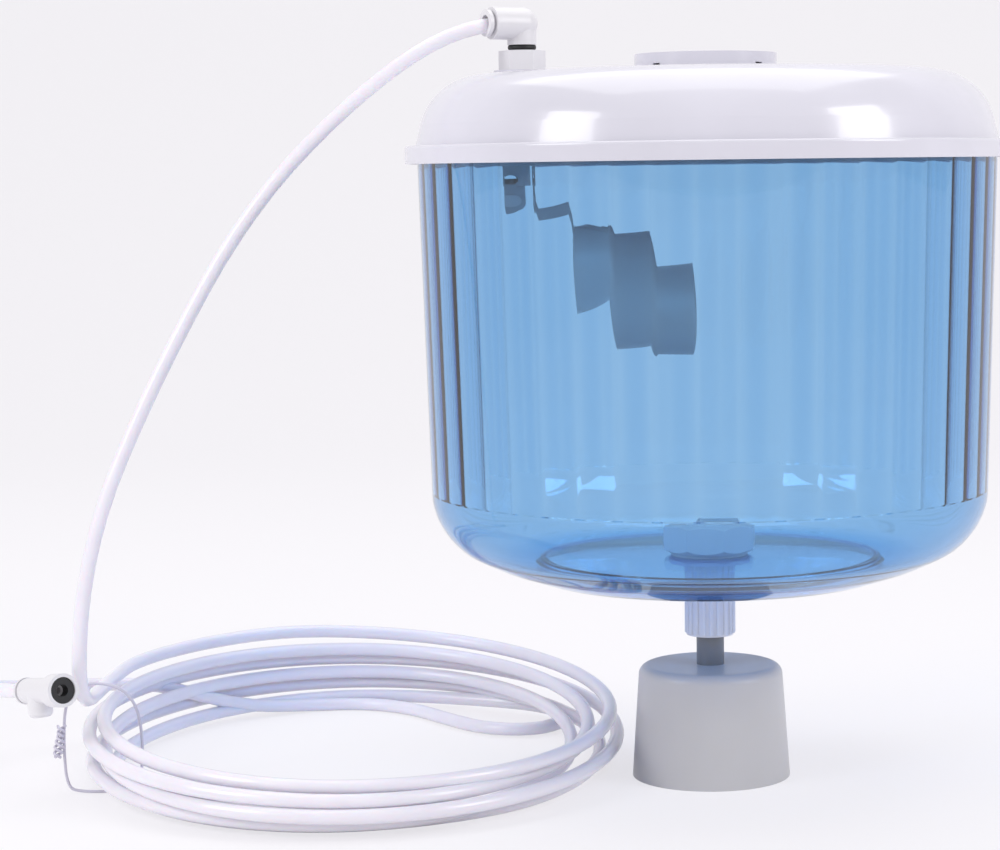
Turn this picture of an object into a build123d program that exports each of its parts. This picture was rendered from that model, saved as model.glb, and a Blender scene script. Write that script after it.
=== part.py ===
from build123d import *
from math import cos, hypot, pi, radians, sin, tan
import os

# A water bottle for the top of a drinking-water dispenser. A tube from the mains fills it through a float
# valve under the lid, and it empties through the ribbed neck below, which a second float opens and shuts.
# Millimetres, Z up. The origin is the centre of the lower float's base, on which the whole bottle stands.

# Fits
RUNNING_GAP = 0.3  # between pieces that move past each other
PIN_FIT = 0.08  # radial clearance of a pin or rod in its hole
SEAT_FIT = 0.05  # radial clearance of pieces that are pushed together

# Lower float, an upturned cup closed by a disc
float_base_radius = 35.2
float_top_radius = 31.8
float_height = 50.0
float_wall = 1.8
float_top_fillet = 4.5
float_disc_thickness = 2.2
float_disc_recess = 0.8
float_disc_ledge = 0.65  # share of the wall that the disc sits on
float_boss_radius = 8.0
float_boss_depth = 12.0
spigot_end_gap = 1.0  # below the spigots that end in a blind hole

# Outlet valve: stem, seal and retainer, from the float up
stem_radius = 6.15
stem_show = 13.4  # the stem seen between the float and the neck
stem_spigot_radius = 4.0
rod_radius = 2.0
outlet_travel = 10.0
outlet_seal_radius = 7.4
outlet_seal_thickness = 2.5
retainer_radius = 3.4
retainer_thickness = 3.0
retainer_chamfer = 1.0

# Outlet neck, its nut and its two washers
neck_radius = 10.4
neck_bore_radius = 8.6
neck_length = 27.6  # from its mouth to the underside of its flange
neck_rib_count = 20
neck_rib_radius = 0.9
neck_flange_radius = 18.0
neck_flange_thickness = 2.4
seat_depth = 20.0  # from the mouth to the ring that the seal meets
seat_lip = 0.8
seat_ledge = 1.0  # how far the ring reaches in under the seal's edge
web_thickness = 3.0
port_count = 4
port_radius = 1.6
port_circle_radius = 4.4
port_turn = 45  # degrees
outlet_washer_thickness = 1.6
outlet_washer_radius = 17.0
nut_thickness = 15.0
nut_radius = 21.3
nut_sides = 8
nut_turn = 15  # degrees
nut_collar_radius = 17.5
nut_collar_height = 2.5
shank_proud = 2.0  # threads that stand above the nut

# Tank
tank_radius = 126.5  # outside, at the rim
tank_height = 187.5  # foot to rim
tank_draft = 1.5  # degrees
tank_wall = 2.6
flute_wall = 2.3  # at the thin edge between two flutes
flute_count = 46
flute_depth = 0.3  # rise of each flute's own curve
flute_phase = -4.4  # degrees from the front to the nearest edge
flute_clearance = 0.2  # from the rounded corner up to the flutes' lower end
corner_radius = 30.0
belly_angle = 25.0  # degrees, the slope of the underside
belly_width = 32.5  # the slope's, as seen from below, out to the rim's radius
foot_edge_height = 5.9
foot_edge_width = 17.7
foot_width = 2.3
foot_lean = 1.0  # how much the recess inside the foot narrows on the way up
foot_recess = 4.5
bead_width = 2.6
bead_height = 3.0
neck_hole_gap = 0.4

# Lid
lid_skirt_height = 7.8
lid_drop = 4.6  # the skirt's edge below the tank's rim
lid_wall = 2.4
lid_edge_fillet = 1.2
lid_shoulder = 4.8  # from the skirt's outside to the foot of the dome
lid_side_angle = 13.8  # degrees from upright
lid_crown_height = 36.4  # above the tank's rim
lid_crown_drop = 2.6  # degrees, the slope of the crown
lid_corner_radius = 28.0
lid_lip_depth = 6.0
lid_lip_thickness = 1.6
lid_lip_gap = 0.45

# Vent cap and its filter pad, in the middle of the lid
cap_radius = 31.1
cap_seat_width = 2.0  # flat part of the lid around the cap
cap_height = 6.6
cap_dome = 1.2
cap_wall = 1.7
cap_notch_count = 4
cap_notch_width = 4.0
cap_notch_height = 0.8
cap_notch_turn = 45  # degrees
spigot_radius = 25.6
spigot_wall = 2.2
spigot_length = 6.5
vent_lip_width = 1.6
vent_lip_thickness = 1.0
filter_thickness = 4.0

# Inlet valve, hanging from the lid
inlet_inset = 46.5  # from the tank's rim to the valve's axis
pad_radius = 12.5
pad_top = 35.6  # above the tank's rim
pad_thickness = 4.6
shank_radius = 6.2
shank_above_nut = 0.3
inlet_nut_radius = 10.3
inlet_nut_height = 8.5
inlet_flange_radius = 10.0
inlet_flange_thickness = 3.0
inlet_washer_thickness = 1.5
valve_radius = 7.5
valve_length = 41.0  # below its flange
water_bore = 1.6
nozzle_radius = 2.4
nozzle_length = 2.0
plunger_radius = 3.0
plunger_length = 5.0
plunger_seal_radius = 2.3
plunger_seal_thickness = 1.8
window_radius = 2.0  # where the water leaves the valve, under its nozzle
ear_length = 10.6
ear_thickness = 2.4
ear_half_width = 4.2
ear_corner_radius = 3.4

# Float lever and inlet float
pivot_drop = 6.3  # below the valve's lower face
pin_radius = 1.5
pin_head_radius = 2.6
pin_head_thickness = 1.2
cam_radius = 5.0
cam_offset = 2.05
lever_width = 6.0
lever_thickness = 4.8
lever_first_angle = 22.0  # degrees below level, with the float hanging
lever_first_length = 22.0
lever_second_angle = 48.0
lever_second_length = 8.0
float_swing = 42.0  # degrees from hanging to shut
inlet_float_length = 68.0
inlet_float_radius = 20.0
inlet_float_widest = 38.0  # from its near end
inlet_float_wall = 1.5
inlet_float_neck_radius = 5.5
inlet_float_neck_length = 4.0
arm_spigot_radius = 3.4
arm_spigot_length = 12.0

# Tube and push-in fittings
tube_radius = 3.175
elbow_turn = 30.0  # degrees, towards the front
elbow_drop = 9.2
elbow_upright_radius = 6.4
elbow_radius = 7.0
elbow_reach = 15.0
elbow_stem_length = 18.0
elbow_ring_radius = 6.2
elbow_ring_thickness = 2.2
elbow_ring_fillet = 0.9
tube_seal_thickness = 1.2
collet_radius = 4.3
collet_socket_gap = 0.3
collet_length = 8.6
collet_flange_radius = 5.8
collet_flange_thickness = 1.6
collet_travel = 1.2
collet_stand_off = 1.4
tube_past_seal = 1.0

# Adapter for the tap, at the tube's far end
adapter_mouth = (-277.4, -57.0, 52.7)
adapter_turn = 128.0  # degrees, the way the barrel runs from its mouth
adapter_pitch = 9.0  # degrees that the barrel falls on that way
adapter_length = 34.0
adapter_radius = 5.6
adapter_head_radius = 7.2
adapter_head_length = 9.0
adapter_seal_radius = 5.65
adapter_seal_hole = 2.6
adapter_seal_length = 5.0
adapter_seal_recess = 0.9
adapter_boss_radius = 5.3
adapter_boss_drop = 11.5
adapter_boss_place = 24.0
adapter_boss_fillet = 2.5

# Coil of spare tube and the tie around it
coil_centre = (-162.0, 24.0)
coil_half_width = 124.0
coil_half_depth = 142.0
coil_strand_width = 19.0
coil_mid_height = 33.0
coil_fall = (5.3, 4.4)  # degrees, the fall of its top to the right and to the front
tie_y = -24.0
tie_width = 3.2
tie_thickness = 0.8
tie_height = 47.0
tie_tail_length = 15.0
tie_tail_radius = 1.3
tie_tail_lean = 12  # degrees
tie_tail_drop = 18.0  # from the band's top

# Places that follow
foot_edge_radius = tank_radius - belly_width
foot_radius = foot_edge_radius - foot_edge_width
recess_radius = foot_radius - foot_width
inlet_x = inlet_inset - tank_radius
skirt_radius = tank_radius + bead_width + RUNNING_GAP
lid_radius = skirt_radius + lid_wall
lid_side_radius = lid_radius - lid_shoulder
neck_mouth = float_height + stem_show
seat_z = neck_mouth + seat_depth
flange_bottom = neck_mouth + neck_length
flange_top = flange_bottom + neck_flange_thickness
floor_under = flange_top + outlet_washer_thickness
floor_top = floor_under + tank_wall
foot_z = floor_under - foot_recess
rim_z = foot_z + tank_height
nut_bottom = floor_top + outlet_washer_thickness
nut_top = nut_bottom + nut_thickness
shank_top = nut_top + shank_proud
web_top = seat_z + seat_lip + web_thickness
retainer_bottom = web_top + outlet_travel + SEAT_FIT
rod_top = retainer_bottom + retainer_thickness
lid_edge_z = rim_z - lid_drop
skirt_top = lid_edge_z + lid_skirt_height
crown_z = rim_z + lid_crown_height
pad_z = rim_z + pad_top
pad_under = pad_z - pad_thickness
inlet_flange_top = pad_under - inlet_washer_thickness
inlet_flange_bottom = inlet_flange_top - inlet_flange_thickness
valve_bottom = inlet_flange_bottom - valve_length
inlet_nut_top = pad_z + inlet_nut_height
shank_z = inlet_nut_top + shank_above_nut
elbow_z = shank_z + elbow_ring_thickness + elbow_drop
pivot_z = valve_bottom - pivot_drop
cam_rise = cam_offset * sin(radians(float_swing / 2))
plunger_foot = pivot_z + cam_radius - cam_rise + RUNNING_GAP
plunger_top = plunger_foot + plunger_length
nozzle_z = plunger_top + 2 * cam_rise + SEAT_FIT
socket_radius = collet_radius + collet_socket_gap


def disc(radius, bottom, top, x=0.0):
    """An upright cylinder between two heights."""
    return Pos(x, 0, bottom) * Cylinder(radius, top - bottom, align=(Align.CENTER, Align.CENTER, Align.MIN))


def ring(outer, inner, bottom, top, x=0.0):
    """An upright tube between two heights."""
    return disc(outer, bottom, top, x) - disc(inner, bottom, top, x)


def level_rod(radius, start, end):
    """A cylinder along X, between two places on it."""
    rod = Cylinder(radius, end - start, align=(Align.CENTER, Align.CENTER, Align.MIN))
    return Pos(start, 0, 0) * Rot(0, 90, 0) * rod


def turned(outline):
    """A solid turned about Z from a closed outline of radius and height."""
    return revolve(Plane.XZ * make_face(outline), Axis.Z)


def around(piece, count, first=0.0):
    """Copies of a piece spread evenly about Z."""
    return [Rot(0, 0, first + 360 * step / count) * piece for step in range(count)]


def rounded(points, corners):
    """A closed outline whose corners have the radii that the dictionary gives, by index."""
    return FilletPolyline(*points, radius=[corners.get(index, 0) for index in range(len(points))], close=True)


# Outlet valve


def make_outlet_float():
    lean = (float_base_radius - float_top_radius) / float_height
    inner_top = float_height - float_wall
    shell = turned(
        rounded(
            [(0, 0), (float_base_radius, 0), (float_top_radius, float_height), (0, float_height)],
            {2: float_top_fillet},
        )
    )
    inner_base = float_base_radius - float_wall
    inner_corner = (inner_base - lean * inner_top, inner_top)
    shell -= turned(
        rounded([(0, 0), (inner_base, 0), inner_corner, (0, inner_top)], {2: float_top_fillet - float_wall})
    )
    rebate_top = float_disc_recess + float_disc_thickness
    shell -= disc(disc_radius() + SEAT_FIT, 0, rebate_top)
    shell += disc(float_boss_radius, inner_top - float_boss_depth, inner_top)
    return shell - disc(stem_spigot_radius + SEAT_FIT, 0, float_height)


def disc_radius():
    """Radius of the disc that closes the float, between its inner wall and its outer one."""
    return float_base_radius - float_disc_ledge * float_wall


def make_float_disc():
    return disc(disc_radius(), float_disc_recess, float_disc_recess + float_disc_thickness)


def make_outlet_stem():
    spigot_bottom = float_height - float_wall - float_boss_depth + spigot_end_gap
    stem = disc(stem_radius, float_height, seat_z - outlet_seal_thickness)
    stem += disc(stem_spigot_radius, spigot_bottom, float_height)
    return stem + disc(rod_radius, float_height, rod_top)


def make_outlet_seal():
    hole = rod_radius + SEAT_FIT
    return ring(outlet_seal_radius, hole, seat_z - outlet_seal_thickness, seat_z)


def make_stem_retainer():
    retainer = ring(retainer_radius, rod_radius + SEAT_FIT, retainer_bottom, rod_top)
    upper_edge = retainer.edges().group_by(Axis.Z)[-1].sort_by(SortBy.RADIUS)[-1]
    return chamfer(upper_edge, retainer_chamfer)


def make_outlet_neck():
    mouth_chamfer = neck_rib_radius
    neck = disc(neck_radius, neck_mouth, shank_top)
    rib = Pos(neck_radius, 0, 0) * disc(neck_rib_radius, neck_mouth + mouth_chamfer, flange_bottom)
    neck += around(rib, neck_rib_count)
    neck += disc(neck_flange_radius, flange_bottom, flange_top)
    neck -= disc(neck_bore_radius, neck_mouth, shank_top)
    web_bottom = seat_z + seat_lip
    neck += disc(neck_bore_radius, web_bottom, web_top)
    neck += ring(neck_bore_radius, outlet_seal_radius - seat_ledge, seat_z, web_bottom)
    neck -= disc(rod_radius + PIN_FIT, web_bottom, web_top)
    port = Pos(port_circle_radius, 0, 0) * disc(port_radius, web_bottom, web_top)
    for hole in around(port, port_count, port_turn):
        neck -= hole
    return neck


def make_outlet_nut():
    half = nut_collar_height
    nut = Pos(0, 0, nut_bottom) * extrude(RegularPolygon(nut_radius, nut_sides, rotation=nut_turn), nut_thickness)
    nut &= turned(
        rounded(
            [
                (0, nut_bottom),
                (nut_radius - half, nut_bottom),
                (nut_radius, nut_bottom + half),
                (nut_radius, nut_top - half),
                (nut_collar_radius, nut_top),
                (0, nut_top),
            ],
            {},
        )
    )
    return nut - disc(neck_radius + SEAT_FIT, nut_bottom, nut_top)


def make_outlet_washer(bottom):
    return ring(outlet_washer_radius, neck_radius + SEAT_FIT, bottom, bottom + outlet_washer_thickness)


# Tank


def wall_radius(height, inset=0.0):
    """Radius of the tank's drafted wall at a height, inset square to the wall."""
    return tank_radius - (rim_z - height) * tan(radians(tank_draft)) - inset / cos(radians(tank_draft))


def belly_height(radius, inset=0.0):
    """Height of the sloping underside at a radius, raised square to the slope."""
    slope = tan(radians(belly_angle))
    return foot_z + foot_edge_height + (radius - foot_edge_radius) * slope + inset / cos(radians(belly_angle))


def lower_corner(inset):
    """Where the wall's line meets the underside's line."""
    draft = tan(radians(tank_draft))
    slope = tan(radians(belly_angle))
    radius_gain = wall_radius(0, inset) + draft * belly_height(0, inset)
    radius = radius_gain / (1 - draft * slope)
    return radius, belly_height(radius, inset)


def flute_floor():
    """Height of the flutes' lower end, just above the rounded corner inside."""
    half_turn = radians(90 - belly_angle - tank_draft) / 2
    straight_from = (corner_radius - tank_wall) * tan(half_turn) * cos(radians(tank_draft))
    return lower_corner(tank_wall)[1] + straight_from + flute_clearance


def cone_height(radius, inset):
    """Height of the foot's cone at a radius, raised square to the cone."""
    rise = foot_edge_height / (foot_edge_radius - foot_radius)
    return foot_z + (radius - foot_radius) * rise + inset * hypot(1, rise)


def make_tank():
    flute_z = flute_floor()
    body = turned(
        rounded(
            [
                (0, floor_under),
                (recess_radius - foot_lean, floor_under),
                (recess_radius, foot_z),
                (foot_radius, foot_z),
                (foot_edge_radius, foot_z + foot_edge_height),
                lower_corner(0),
                (tank_radius, rim_z),
                (0, rim_z),
            ],
            {5: corner_radius},
        )
    )
    body += ring(tank_radius + bead_width, tank_radius - flute_wall, rim_z - bead_height, rim_z)
    channel_inner = recess_radius + tank_wall
    edge_inner = foot_edge_radius - tank_wall / 4
    bowl = [
        (0, floor_top),
        (channel_inner - foot_lean, floor_top),
        (channel_inner, cone_height(channel_inner, tank_wall)),
        (edge_inner, cone_height(edge_inner, tank_wall)),
        lower_corner(tank_wall),
        (wall_radius(flute_z, tank_wall), flute_z),
        (0, flute_z),
    ]
    body -= turned(rounded(bowl, {4: corner_radius - tank_wall}))
    body -= loft([fluted_face(flute_z), fluted_face(rim_z + 1)], ruled=True)
    return body - disc(neck_radius + neck_hole_gap, floor_under - 1, floor_top + 1)


def fluted_face(height):
    """The tank's inner outline at a height: shallow arcs that bulge inwards and meet in edges."""
    edge_radius = wall_radius(height, flute_wall)
    step = 2 * pi / flute_count
    bulge_radius = edge_radius * cos(step / 2) - flute_depth
    start = radians(flute_phase - 90)
    arcs = []
    for number in range(flute_count):
        turns = [start + step * (number + share) for share in (0, 0.5, 1)]
        places = [
            (reach * cos(turn), reach * sin(turn))
            for turn, reach in zip(turns, (edge_radius, bulge_radius, edge_radius))
        ]
        arcs.append(ThreePointArc(*places))
    return Pos(0, 0, height) * make_face(arcs)


# Lid and vent


def lid_dome(inset, bottom):
    """The lid's dome, inset by a wall, from a height upwards."""
    lean = tan(radians(lid_side_angle))
    fall = tan(radians(lid_crown_drop))
    flat = cap_radius + cap_seat_width
    side_at_zero = lid_side_radius - inset / cos(radians(lid_side_angle)) + lean * skirt_top
    crown_at_zero = crown_z + flat * fall - inset / cos(radians(lid_crown_drop))
    corner_height = (crown_at_zero - fall * side_at_zero) / (1 - fall * lean)
    corner = (side_at_zero - lean * corner_height, corner_height)
    outline = [
        (0, bottom),
        (side_at_zero - lean * bottom, bottom),
        corner,
        (flat, crown_z - inset),
        (0, crown_z - inset),
    ]
    return turned(rounded(outline, {2: lid_corner_radius - inset}))


def make_lid():
    seat_top = rim_z + lid_wall
    lip_radius = wall_radius(rim_z, flute_wall) - flute_ridge() - lid_lip_gap
    lip_inner = lip_radius - lid_lip_thickness
    lid = lid_dome(0, rim_z) + disc(lid_radius, rim_z, skirt_top)
    lid += ring(lid_radius, skirt_radius, lid_edge_z, rim_z)
    lid -= lid_dome(lid_wall, seat_top) + disc(lip_inner, rim_z, seat_top)
    lid += ring(lip_radius, lip_inner, rim_z - lid_lip_depth, seat_top)
    upper_edge = lid.edges().filter_by(GeomType.CIRCLE).filter_by_position(Axis.Z, skirt_top - 0.01, skirt_top + 0.01)
    lid = fillet(upper_edge.sort_by(SortBy.RADIUS)[-1], lid_edge_fillet)
    lid += disc(pad_radius, pad_under, pad_z, inlet_x)
    lid -= disc(shank_radius + SEAT_FIT, pad_under, pad_z, inlet_x)
    return lid - disc(spigot_radius + SEAT_FIT, crown_z - lid_wall, crown_z)


def flute_ridge():
    """How far each flute stands inside the circle of the edges between them."""
    edge_radius = wall_radius(rim_z, flute_wall)
    return edge_radius * (1 - cos(pi / flute_count)) + flute_depth


def make_vent_cap():
    top = crown_z + cap_height
    under = top - cap_dome - cap_wall
    spigot_bottom = crown_z - spigot_length
    lip_top = spigot_bottom + vent_lip_thickness
    spigot_inner = spigot_radius - spigot_wall
    edge = (cap_radius, top - cap_dome)
    outline = [
        edge,
        (cap_radius, crown_z),
        (cap_radius - cap_wall, crown_z),
        (cap_radius - cap_wall, under),
        (spigot_radius, under),
        (spigot_radius, spigot_bottom),
        (spigot_inner - vent_lip_width, spigot_bottom),
        (spigot_inner - vent_lip_width, lip_top),
        (spigot_inner, lip_top),
        (spigot_inner, under),
        (0, under),
        (0, top),
    ]
    dome = ThreePointArc((0, top), (cap_radius / 2, top - cap_dome / 4), edge)
    cap = turned([Polyline(*outline), dome])
    notch = Box(cap_radius, cap_notch_width, cap_notch_height, align=(Align.MIN, Align.CENTER, Align.MIN))
    for cut in around(Pos(spigot_inner - 1, 0, crown_z) * notch, cap_notch_count, cap_notch_turn):
        cap -= cut
    return cap


def make_vent_filter():
    bottom = crown_z - spigot_length + vent_lip_thickness
    return disc(spigot_radius - spigot_wall - SEAT_FIT, bottom, bottom + filter_thickness)


# Inlet valve


def make_inlet_nut():
    nut = Pos(0, 0, pad_z) * extrude(RegularPolygon(inlet_nut_radius, 6), inlet_nut_height)
    return Pos(inlet_x, 0, 0) * (nut - disc(shank_radius + SEAT_FIT, pad_z, inlet_nut_top))


def make_inlet_washer():
    return ring(inlet_flange_radius, shank_radius + SEAT_FIT, inlet_flange_top, pad_under, inlet_x)


def make_valve_body():
    body = disc(shank_radius, inlet_flange_top, shank_z)
    body += disc(inlet_flange_radius, inlet_flange_bottom, inlet_flange_top)
    body += disc(valve_radius, valve_bottom, inlet_flange_bottom)
    stem_socket_bottom = shank_z - elbow_stem_length - spigot_end_gap
    body -= disc(tube_radius + SEAT_FIT, stem_socket_bottom, shank_z)
    body -= disc(water_bore, valve_bottom, shank_z)
    body -= disc(plunger_radius + PIN_FIT, valve_bottom, nozzle_z + nozzle_length)
    body += ring(nozzle_radius, water_bore, nozzle_z, nozzle_z + nozzle_length)
    ear_gap = lever_width / 2 + RUNNING_GAP
    ear = Box(2 * ear_half_width, ear_thickness, ear_length, align=(Align.CENTER, Align.MIN, Align.MAX))
    corners = ear.edges().filter_by(Axis.Y).group_by(Axis.Z)[0]
    ear = fillet(corners, ear_corner_radius)
    for side in (0, 180):
        body += Rot(0, 0, side) * Pos(0, ear_gap, valve_bottom + 0.01) * ear
    body -= Pos(0, 0, nozzle_z - window_radius) * Rot(90, 0, 0) * Cylinder(window_radius, 4 * valve_radius)
    cross = Pos(0, 0, pivot_z) * Rot(90, 0, 0) * Cylinder(pin_radius + SEAT_FIT, 4 * valve_radius)
    return Pos(inlet_x, 0, 0) * (body - cross)


def make_plunger():
    plunger = disc(plunger_radius, plunger_foot, plunger_top, inlet_x)
    return plunger - disc(plunger_seal_radius + SEAT_FIT, plunger_top - plunger_seal_thickness, plunger_top, inlet_x)


def make_plunger_seal():
    return disc(plunger_seal_radius, plunger_top - plunger_seal_thickness, plunger_top, inlet_x)


def lever_bends():
    """The lever's bend and the place where its arm meets the float, from the pivot."""
    first = radians(lever_first_angle)
    second = radians(lever_second_angle)
    bend = Vector(lever_first_length * cos(first), 0, -lever_first_length * sin(first))
    return bend, bend + Vector(cos(second), 0, -sin(second)) * lever_second_length


def place_at_float(piece):
    """Put a piece made along X on the float's axis, with its near end on the arm."""
    arm_end = lever_bends()[1]
    return Pos(inlet_x, 0, pivot_z) * Pos(arm_end) * Rot(0, lever_second_angle, 0) * piece


def make_float_lever():
    half = lever_thickness / 2
    bend = lever_bends()[0]
    bar = Box(lever_first_length, lever_width, lever_thickness, align=(Align.MIN, Align.CENTER, Align.CENTER))
    lever = Rot(0, lever_first_angle, 0) * bar
    lever += Pos(bend) * Rot(90, 0, 0) * Cylinder(half, lever_width)
    end = Box(lever_second_length, lever_width, lever_thickness, align=(Align.MIN, Align.CENTER, Align.CENTER))
    lever += Pos(bend) * Rot(0, lever_second_angle, 0) * end
    cam_turn = radians(float_swing / 2)
    cam = Cylinder(cam_radius, lever_width)
    lever += Pos(cam_offset * cos(cam_turn), 0, -cam_offset * sin(cam_turn)) * Rot(90, 0, 0) * cam
    lever -= Rot(90, 0, 0) * Cylinder(pin_radius + PIN_FIT, 2 * lever_width)
    lever = Pos(inlet_x, 0, pivot_z) * lever
    return lever + place_at_float(level_rod(arm_spigot_radius, -0.5, arm_spigot_length))


def make_lever_pin():
    reach = lever_width / 2 + RUNNING_GAP + ear_thickness
    pin = level_rod(pin_radius, -reach - pin_head_thickness, reach + pin_head_thickness)
    pin += level_rod(pin_head_radius, reach, reach + pin_head_thickness)
    pin += level_rod(pin_head_radius, -reach - pin_head_thickness, -reach)
    return Pos(inlet_x, 0, pivot_z) * Rot(0, 0, 90) * pin


def egg(radius, widest, length):
    """A closed body turned about X, pointed at its near end and blunter at the far one."""
    near = EllipticalCenterArc((widest, 0), widest, radius, start_angle=90, arc_size=90)
    far = EllipticalCenterArc((widest, 0), length - widest, radius, start_angle=0, arc_size=90)
    return revolve(make_face([near, far, Line((0, 0), (length, 0))]), Axis.X)


def make_inlet_float():
    body = egg(inlet_float_radius, inlet_float_widest, inlet_float_length)
    body += level_rod(inlet_float_neck_radius, 0, inlet_float_neck_length + inlet_float_wall)
    hollow = egg(
        inlet_float_radius - inlet_float_wall,
        inlet_float_widest - inlet_float_neck_length,
        inlet_float_length - inlet_float_neck_length - inlet_float_wall,
    )
    body -= Pos(inlet_float_neck_length, 0, 0) * hollow
    body += level_rod(inlet_float_neck_radius, 0, arm_spigot_length + spigot_end_gap + inlet_float_wall)
    body -= level_rod(arm_spigot_radius + SEAT_FIT, 0, arm_spigot_length + spigot_end_gap)
    return place_at_float(body)


# Push-in fittings


def at_elbow(piece):
    return Pos(inlet_x, 0, elbow_z) * Rot(0, 0, 180 + elbow_turn) * piece


def at_adapter(piece):
    return Pos(*adapter_mouth) * Rot(0, 0, adapter_turn) * Rot(0, adapter_pitch, 0) * piece


def push_socket(mouth):
    """The bore for a collet, a seal and the tube's end, opening at a place on X."""
    bore = level_rod(socket_radius, seal_start(mouth), mouth)
    return bore + level_rod(tube_radius + SEAT_FIT, tube_end(mouth), mouth)


def seal_start(mouth):
    return mouth + collet_stand_off - collet_length - collet_travel - tube_seal_thickness - 2 * SEAT_FIT


def tube_end(mouth):
    return seal_start(mouth) - tube_past_seal


def make_tube_seal(mouth):
    start = seal_start(mouth)
    seal = level_rod(socket_radius - SEAT_FIT, start, start + tube_seal_thickness)
    return seal - level_rod(tube_radius + SEAT_FIT, start, start + tube_seal_thickness)


def make_collet(mouth):
    """A sleeve that grips the tube, with the flange that is pressed to let it go."""
    flange_start = mouth + collet_stand_off
    flange_end = flange_start + collet_flange_thickness
    collet = level_rod(collet_radius, flange_start - collet_length, flange_start)
    collet += level_rod(collet_flange_radius, flange_start, flange_end)
    return collet - level_rod(tube_radius + RUNNING_GAP, flange_start - collet_length, flange_end)


def make_inlet_elbow():
    elbow = Sphere(elbow_radius) + level_rod(elbow_radius, 0, elbow_reach)
    elbow += disc(elbow_upright_radius, -elbow_drop, 0)
    elbow += disc(tube_radius, -elbow_drop - elbow_ring_thickness - elbow_stem_length, -elbow_drop)
    elbow -= push_socket(elbow_reach)
    elbow -= level_rod(water_bore, 0, elbow_reach)
    elbow -= disc(water_bore, -elbow_drop - elbow_ring_thickness - elbow_stem_length, 0)
    return at_elbow(elbow)


def make_elbow_ring():
    hole = tube_radius + SEAT_FIT
    rubber = ring(elbow_ring_radius, hole, shank_z, shank_z + elbow_ring_thickness)
    outer = rubber.edges().filter_by(GeomType.CIRCLE).sort_by(SortBy.RADIUS)[-2:]
    return Pos(inlet_x, 0, 0) * fillet(outer, elbow_ring_fillet)


def make_tap_adapter():
    body = level_rod(adapter_radius, 0, adapter_length) + level_rod(adapter_head_radius, 0, adapter_head_length)
    boss = Cylinder(adapter_boss_radius, adapter_boss_drop, align=(Align.CENTER, Align.CENTER, Align.MAX))
    boss = fillet(boss.edges().group_by(Axis.Z)[0], adapter_boss_fillet)
    body += Pos(adapter_boss_place, 0, 0) * boss
    body -= level_rod(adapter_seal_radius + SEAT_FIT, 0, adapter_seal_recess + adapter_seal_length)
    body -= push_socket(adapter_length)
    return at_adapter(body - level_rod(water_bore, 0, adapter_length))


def make_adapter_seal():
    start = adapter_seal_recess
    end = start + adapter_seal_length
    return at_adapter(level_rod(adapter_seal_radius, start, end) - level_rod(adapter_seal_hole, start, end))


# Tube. Each route is a list of points that the tube's middle line turns at.

SUPPLY_FIRST_RUN = 24.0
SUPPLY_ROUTE = [
    (-147.0, -24.0, 306.5),
    (-197.0, -33.5, 256.0),
    (-237.5, -40.0, 184.0),
    (-268.5, -44.0, 114.0),
    (-275.0, -46.0, 40.0),
]
SUPPLY_END = (-274.0, 30.0, 40.0)
TAP_FIRST_RUN = 34.0
TAP_ROUTE = [(-339.0, 20.5, 40.0), (-324.0, 60.0, 31.0)]
TAP_END = (-268.0, 90.0, 27.0)


def bend_radii(points):
    """The largest arc that each turn of a route has room for, from its two runs."""
    radii = []
    for before, corner, after in zip(points, points[1:], points[2:]):
        back = before - corner
        ahead = after - corner
        turn = 180 - back.get_angle(ahead)
        radii.append(0.45 * min(back.length, ahead.length) / tan(radians(turn / 2)))
    return radii


def make_tube(points, name):
    radii = bend_radii(points)
    path = FilletPolyline(*points, radius=radii)
    section = Plane(origin=path @ 0, z_dir=path % 0) * Circle(tube_radius)
    tube = sweep(section, path)
    ideal = pi * tube_radius**2 * path.length
    print(name, "bend radii", [round(radius, 1) for radius in radii])
    print(name, "length", round(path.length, 1), "volume over section times length", round(tube.volume / ideal, 4))
    return tube


def supply_points():
    """The tube leaves the elbow straight, then follows its route down to the coil."""
    turn = radians(180 + elbow_turn)
    way = Vector(cos(turn), sin(turn), 0)
    start = Vector(inlet_x, 0, elbow_z) + way * tube_end(elbow_reach)
    return [start, start + way * SUPPLY_FIRST_RUN, *[Vector(*point) for point in SUPPLY_ROUTE], Vector(*SUPPLY_END)]


def tap_points():
    turn = radians(adapter_turn)
    pitch = radians(adapter_pitch)
    way = Vector(cos(turn) * cos(pitch), sin(turn) * cos(pitch), -sin(pitch))
    start = Vector(*adapter_mouth) + way * tube_end(adapter_length)
    return [start, start + way * TAP_FIRST_RUN, *[Vector(*point) for point in TAP_ROUTE], Vector(*TAP_END)]


def make_tube_coil():
    """The outer shape of the coil: an oval ring, higher at the left and at the back."""
    tall = 3 * coil_mid_height
    inner = (coil_half_width - coil_strand_width, coil_half_depth - coil_strand_width)
    oval = Ellipse(coil_half_width, coil_half_depth) - Ellipse(*inner)
    top = Pos(0, 0, coil_mid_height) * Rot(-coil_fall[1], coil_fall[0], 0)
    over = top * Box(6 * coil_half_width, 6 * coil_half_depth, tall, align=(Align.CENTER, Align.CENTER, Align.MIN))
    return Pos(*coil_centre, 0) * (extrude(oval, tall) - over)


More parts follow.
